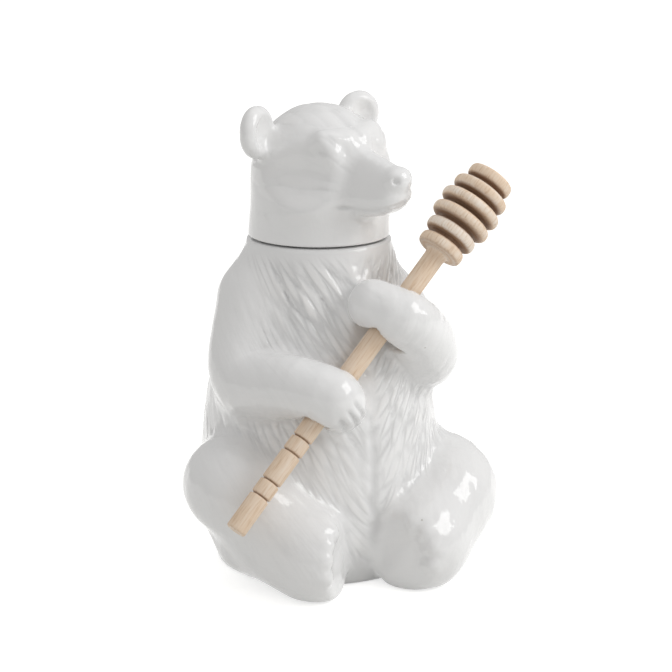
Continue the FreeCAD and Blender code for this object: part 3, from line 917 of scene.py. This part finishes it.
# How deep each point lies between the rings of the head or in a groove, for the shade painted there, from its
# place along the dipper and its distance from the axis
out = np.hypot(local[:, 0], local[:, 1])
up = local[:, 2]
in_head = ramp(up, first_ring - 0.5, first_ring + 1.0) * ramp(up, dipper_length - 4.0, dipper_length - 5.0)
gap_middle = first_ring + (ring_thickness + ring_pitch) / 2
from_gap = np.abs((up - gap_middle + ring_pitch / 2) % ring_pitch - ring_pitch / 2)
between_rings = in_head * ramp(from_gap, 1.7, 0.7)
in_groove = (1 - in_head) * ramp(out, stick_radius - 0.2, stick_radius - 0.7) * ramp(up, 8.0, 12.0)
in_groove = in_groove * ramp(up, groove_places[-1] + 4.0, groove_places[-1] + 2.0)

dipper = mesh_piece("turned_dipper", stick_low_end + local @ stick_axes.T, faces, beech)
# Painted shade between the rings of the head and in the grooves
set_values(dipper, "painted_recess_shade", np.clip(0.85 * between_rings + 0.8 * in_groove, 0, 1))
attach(dipper, "dipper")
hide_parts("honey_dipper")

# The stage: a plain white paper floor under a white sky, a large soft window to the viewer's right, and the
# camera where the photograph was taken from. The paper is lifted to white where it is seen or mirrored.
floor_half = 3.0
paper_white = "#E4E4E2"
paper_lift = 0.66
sky_white = "#F9F8F7"
sky_strength = 0.62

floor_corners = [(x * floor_half, y * floor_half, 0) for x, y in ((-1, -1), (1, -1), (1, 1), (-1, 1))]
floor_mesh = bpy.data.meshes.new("floor")
floor_mesh.from_pydata(floor_corners, [], [(0, 1, 2, 3)])
floor = bpy.data.objects.new("floor", floor_mesh)
bpy.context.scene.collection.objects.link(floor)

paper = bpy.data.materials.new("white_paper_floor")
paper.use_nodes = True
tree = paper.node_tree
tree.nodes.clear()
seen = add(tree, "ShaderNodeLightPath", {})
also = add(tree, "ShaderNodeMath", {"operation": "MAXIMUM"},
           {0: seen.outputs["Is Camera Ray"], 1: seen.outputs["Is Glossy Ray"]})
through = add(tree, "ShaderNodeMath", {"operation": "MAXIMUM"},
              {0: also.outputs[0], 1: seen.outputs["Is Transmission Ray"]})
lift = add(tree, "ShaderNodeMath", {"operation": "MULTIPLY", 1: paper_lift}, {0: through.outputs[0]})
matt = add(tree, "ShaderNodeBsdfDiffuse", {"Color": linear(paper_white)})
glow = add(tree, "ShaderNodeEmission", {}, {"Strength": lift.outputs[0]})
both = add(tree, "ShaderNodeAddShader", {}, {0: matt.outputs[0], 1: glow.outputs[0]})
add(tree, "ShaderNodeOutputMaterial", {}, {"Surface": both.outputs[0]})
floor_mesh.materials.append(paper)

world = bpy.data.worlds.new("white_studio")
bpy.context.scene.world = world
world.use_nodes = True
tree = world.node_tree
tree.nodes.clear()
seen = add(tree, "ShaderNodeLightPath", {})
sky = add(tree, "ShaderNodeBackground", {"Color": linear(sky_white), "Strength": sky_strength})
white = add(tree, "ShaderNodeBackground", {"Color": (1, 1, 1, 1), "Strength": 1.0})
mixed = add(tree, "ShaderNodeMixShader", {},
            {0: seen.outputs["Is Camera Ray"], 1: sky.outputs[0], 2: white.outputs[0]})
add(tree, "ShaderNodeOutputWorld", {}, {"Surface": mixed.outputs[0]})

camera_bearing = math.radians(-21.0)
camera_reach = 900.0
camera_height = 300.0
camera_aim = np.array([5.7, -2.2, 82.4])
camera_lens = 137.6
view_right = np.array([math.cos(camera_bearing), math.sin(camera_bearing), 0.0])
view_back = np.array([math.sin(camera_bearing), -math.cos(camera_bearing), 0.0])


def look(thing, spot, target):
    """Sets a lamp or the camera at a place and points it at another, both in millimetres."""
    way = mathutils.Vector((np.asarray(target) - spot).tolist())
    thing.location = (np.asarray(spot) * mm).tolist()
    thing.rotation_euler = way.to_track_quat("-Z", "Y").to_euler()
    bpy.context.scene.collection.objects.link(thing)


camera = bpy.data.objects.new("camera", bpy.data.cameras.new("camera"))
camera.data.lens = camera_lens
camera.data.clip_start = 0.05
look(camera, camera_reach * view_back + np.array([0, 0, camera_height]), camera_aim)
bpy.context.scene.camera = camera

# Each lamp's place from the middle of the bear, its two sides in millimetres and its watts
middle = np.array([0.0, 0.0, 85.0])
lamps = {
    "window": (730 * view_right + 190 * view_back + np.array([0, 0, 520]), (460, 560), 3.2),
    "sky_panel": (100 * view_right - 100 * view_back + np.array([0, 0, 1100]), (900, 900), 0.8),
}
for name, (spot, size, watts) in lamps.items():
    lamp = bpy.data.lights.new(name, "AREA")
    lamp.shape = "RECTANGLE"
    lamp.size = size[0] * mm
    lamp.size_y = size[1] * mm
    lamp.energy = watts
    look(bpy.data.objects.new(name, lamp), middle + spot, middle)

bpy.context.scene.view_settings.view_transform = "Standard"
